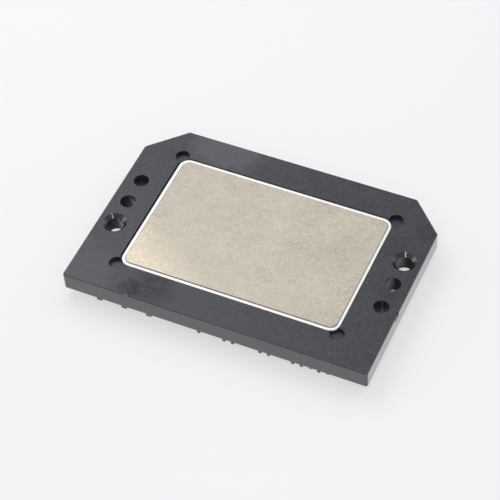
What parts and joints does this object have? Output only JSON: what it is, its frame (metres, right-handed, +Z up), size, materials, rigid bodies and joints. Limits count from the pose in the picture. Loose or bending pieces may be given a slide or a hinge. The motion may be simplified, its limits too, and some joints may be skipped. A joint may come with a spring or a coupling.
{
  "type": "igbt module",
  "caption": "Flat power module: a ceramic tile with a bare metal cooling face set in a black moulded frame, with holes at both ends and solder pins under its long edges.",
  "frame": {"origin": "on the surface that the pin tips stand on, under the middle of the moulded frame", "axes": "+X along the long edges, +Y towards the edge with the two cut corners, +Z up, out of the cooling face"},
  "size_m": [0.107, 0.0728, 0.0101],
  "materials": {
    "moulded_frame": "black moulded plastic with fine mottled grain",
    "lid_moulding": "black moulded plastic, satin",
    "white_ceramic": "white alumina, matt",
    "nickel_plate": "matt nickel plate on copper, finely speckled",
    "adhesive": "cured silicone adhesive",
    "clear_gel": "soft clear silicone gel",
    "bare_copper": "bare copper bonded to the ceramic",
    "silicon": "metallised silicon chip",
    "solder": "dull solder",
    "thermistor_body": "dark glazed ceramic",
    "aluminium_wire": "drawn aluminium wire",
    "tinned_terminal": "stamped copper strip, matt tinned"
  },
  "bodies": {
    "root": {"frame": "moulded_frame", "lid": "lid_moulding", "ceramic_tile": "white_ceramic", "cooling_metal": "nickel_plate", "adhesive_seal": "adhesive", "silicone_gel": "clear_gel", "plus_bus": "bare_copper", "rectified_plus_island": "bare_copper", "minus_strip": "bare_copper", "line_islands": "bare_copper", "brake_island": "bare_copper", "minus_islands": "bare_copper", "gate_islands": "bare_copper", "thermistor_lands": "bare_copper", "phase_island_u": "bare_copper", "phase_island_v": "bare_copper", "phase_island_w": "bare_copper", "upper_igbt_u": "silicon", "upper_igbt_v": "silicon", "upper_igbt_w": "silicon", "lower_igbt_u": "silicon", "lower_igbt_v": "silicon", "lower_igbt_w": "silicon", "brake_igbt": "silicon", "brake_diode": "silicon", "freewheel_diodes": "silicon", "rectifier_diodes": "silicon", "thermistor": "thermistor_body", "chip_solder": "solder", "power_wires": "aluminium_wire", "signal_wires": "aluminium_wire", "line_pin_1": "tinned_terminal", "line_pin_2": "tinned_terminal", "line_pin_3": "tinned_terminal", "brake_gate_pin": "tinned_terminal", "upper_gate_pin_u": "tinned_terminal", "upper_emitter_pin_u": "tinned_terminal", "upper_gate_pin_v": "tinned_terminal", "upper_emitter_pin_v": "tinned_terminal", "upper_gate_pin_w": "tinned_terminal", "upper_emitter_pin_w": "tinned_terminal", "plus_sense_pin": "tinned_terminal", "thermistor_pin_1": "tinned_terminal", "thermistor_pin_2": "tinned_terminal", "rectified_plus_pin": "tinned_terminal", "brake_pin": "tinned_terminal", "minus_pin": "tinned_terminal", "plus_pin": "tinned_terminal", "phase_pin_u": "tinned_terminal", "phase_minus_pin_u": "tinned_terminal", "lower_gate_pin_u": "tinned_terminal", "phase_pin_v": "tinned_terminal", "phase_minus_pin_v": "tinned_terminal", "lower_gate_pin_v": "tinned_terminal", "phase_pin_w": "tinned_terminal", "phase_minus_pin_w": "tinned_terminal", "lower_gate_pin_w": "tinned_terminal"}
  },
  "joints": []
}
